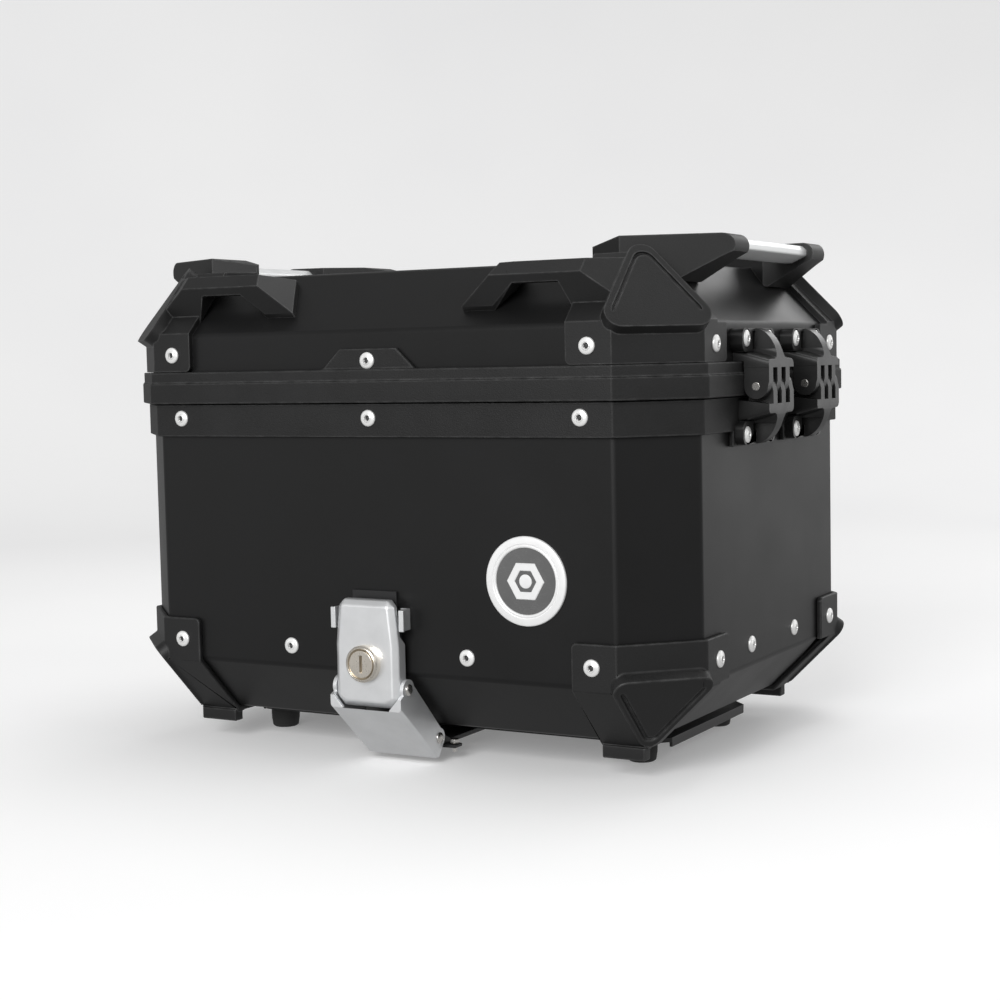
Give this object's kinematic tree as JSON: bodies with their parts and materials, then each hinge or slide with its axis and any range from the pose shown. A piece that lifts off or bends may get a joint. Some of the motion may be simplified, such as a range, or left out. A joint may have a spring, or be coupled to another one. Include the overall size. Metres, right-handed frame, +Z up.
{
  "type": "motorcycle top case",
  "caption": "Hard black aluminium motorcycle top case with hinged lid, corner guards, tie-down arms, rail tubes, keyed latches and a mounting plate.",
  "frame": {"origin": "on the floor under the middle of the case, at the bottom centre of the feet", "axes": "+Z up; -Y is the wide face with the keyed mounting latch and the badge; +X is the face with the lid hinges; -X is the face with the lid latch"},
  "size_m": [0.4488, 0.3251, 0.3211],
  "materials": {
    "powder_coated_sheet": "satin black powder coat on aluminium",
    "corner_plastic": "satin black moulded nylon",
    "frame_plastic": "finely textured black plastic",
    "rivet_steel": "bright blind rivet heads",
    "badge_metal": "satin ring",
    "badge_face": "dark domed resin",
    "pin_steel": "bright steel",
    "hinge_plastic": "glossy black nylon",
    "black_steel": "black powder-coated steel",
    "rubber": "matt black rubber",
    "anodised_tube": "satin anodised aluminium",
    "latch_casting": "satin silver die casting",
    "lock_nickel": "nickel-plated lock"
  },
  "bodies": {
    "case": {"body_shell": "powder_coated_sheet", "bottom_pan": "powder_coated_sheet", "body_collar": "frame_plastic", "guard_front_right": "corner_plastic", "guard_front_left": "corner_plastic", "guard_rear_right": "corner_plastic", "guard_rear_left": "corner_plastic", "body_rivets": "rivet_steel", "badge_ring": "badge_metal", "badge_disc": "badge_face", "hinge_lower_front": "hinge_plastic", "hinge_lower_rear": "hinge_plastic", "hinge_pin_front": "pin_steel", "hinge_pin_rear": "pin_steel", "hinge_lower_screws": "rivet_steel", "mount_catch": "black_steel", "mount_catch_ears": "latch_casting", "base_plate": "black_steel", "foot_front_right": "rubber", "foot_front_left": "rubber", "foot_rear_right": "rubber", "foot_rear_left": "rubber", "mount_pads": "rubber", "rear_hooks": "black_steel", "latch_bracket": "black_steel", "mount_pin_lower": "pin_steel", "bracket_bolts": "pin_steel", "spring_washers": "pin_steel", "latch_rivets": "rivet_steel", "lid_latch_bracket": "black_steel", "lid_pin_lower": "pin_steel"},
    "lid": {"lid_shell": "powder_coated_sheet", "lid_frame": "frame_plastic", "lid_seal": "rubber", "lid_corner_front_right": "corner_plastic", "lid_corner_front_left": "corner_plastic", "lid_corner_rear_right": "corner_plastic", "lid_corner_rear_left": "corner_plastic", "rail_tube_right": "anodised_tube", "rail_tube_left": "anodised_tube", "lid_rivets": "rivet_steel", "hinge_upper_front": "hinge_plastic", "hinge_upper_rear": "hinge_plastic", "hinge_upper_screws": "rivet_steel", "lid_catch": "black_steel"},
    "mount_latch_link": {"mount_link": "latch_casting", "mount_pin_upper": "pin_steel"},
    "mount_latch_cover": {"mount_cover": "latch_casting", "mount_lock_ring": "lock_nickel"},
    "mount_lock": {"mount_lock_plug": "lock_nickel", "mount_lock_cam": "pin_steel"},
    "lid_latch_link": {"lid_link": "latch_casting", "lid_pin_upper": "pin_steel"},
    "lid_latch_cover_body": {"lid_latch_cover": "latch_casting", "lid_lock_ring": "lock_nickel"},
    "lid_lock": {"lid_lock_plug": "lock_nickel", "lid_lock_cam": "pin_steel"}
  },
  "joints": [
    {"name": "lid_hinge", "type": "hinge", "parent": "case", "child": "lid", "pos_m": [0.2145, 0, 0.23125], "axis": [0, 1, 0], "range_deg": [0, 95]},
    {"name": "mount_latch_link_pivot", "type": "hinge", "parent": "case", "child": "mount_latch_link", "pos_m": [0, -0.12, 0.0162], "axis": [1, 0, 0], "range_deg": [0, 35]},
    {"name": "mount_latch_cover_pivot", "type": "hinge", "parent": "mount_latch_link", "child": "mount_latch_cover", "pos_m": [0, -0.1545, 0.0523], "axis": [1, 0, 0], "range_deg": [0, 75]},
    {"name": "mount_key", "type": "hinge", "parent": "mount_latch_cover", "child": "mount_lock", "pos_m": [0, -0.159, 0.0683], "axis": [0, 1, 0], "range_deg": [0, 90]},
    {"name": "lid_latch_link_pivot", "type": "hinge", "parent": "case", "child": "lid_latch_link", "pos_m": [-0.2125, 0, 0.186], "axis": [0, -1, 0], "range_deg": [0, 60]},
    {"name": "lid_latch_cover_pivot", "type": "hinge", "parent": "lid_latch_link", "child": "lid_latch_cover_body", "pos_m": [-0.2125, 0, 0.218], "axis": [0, -1, 0], "range_deg": [0, 40]},
    {"name": "lid_key", "type": "hinge", "parent": "lid_latch_cover_body", "child": "lid_lock", "pos_m": [-0.217, 0, 0.235], "axis": [1, 0, 0], "range_deg": [0, 90]}
  ]
}
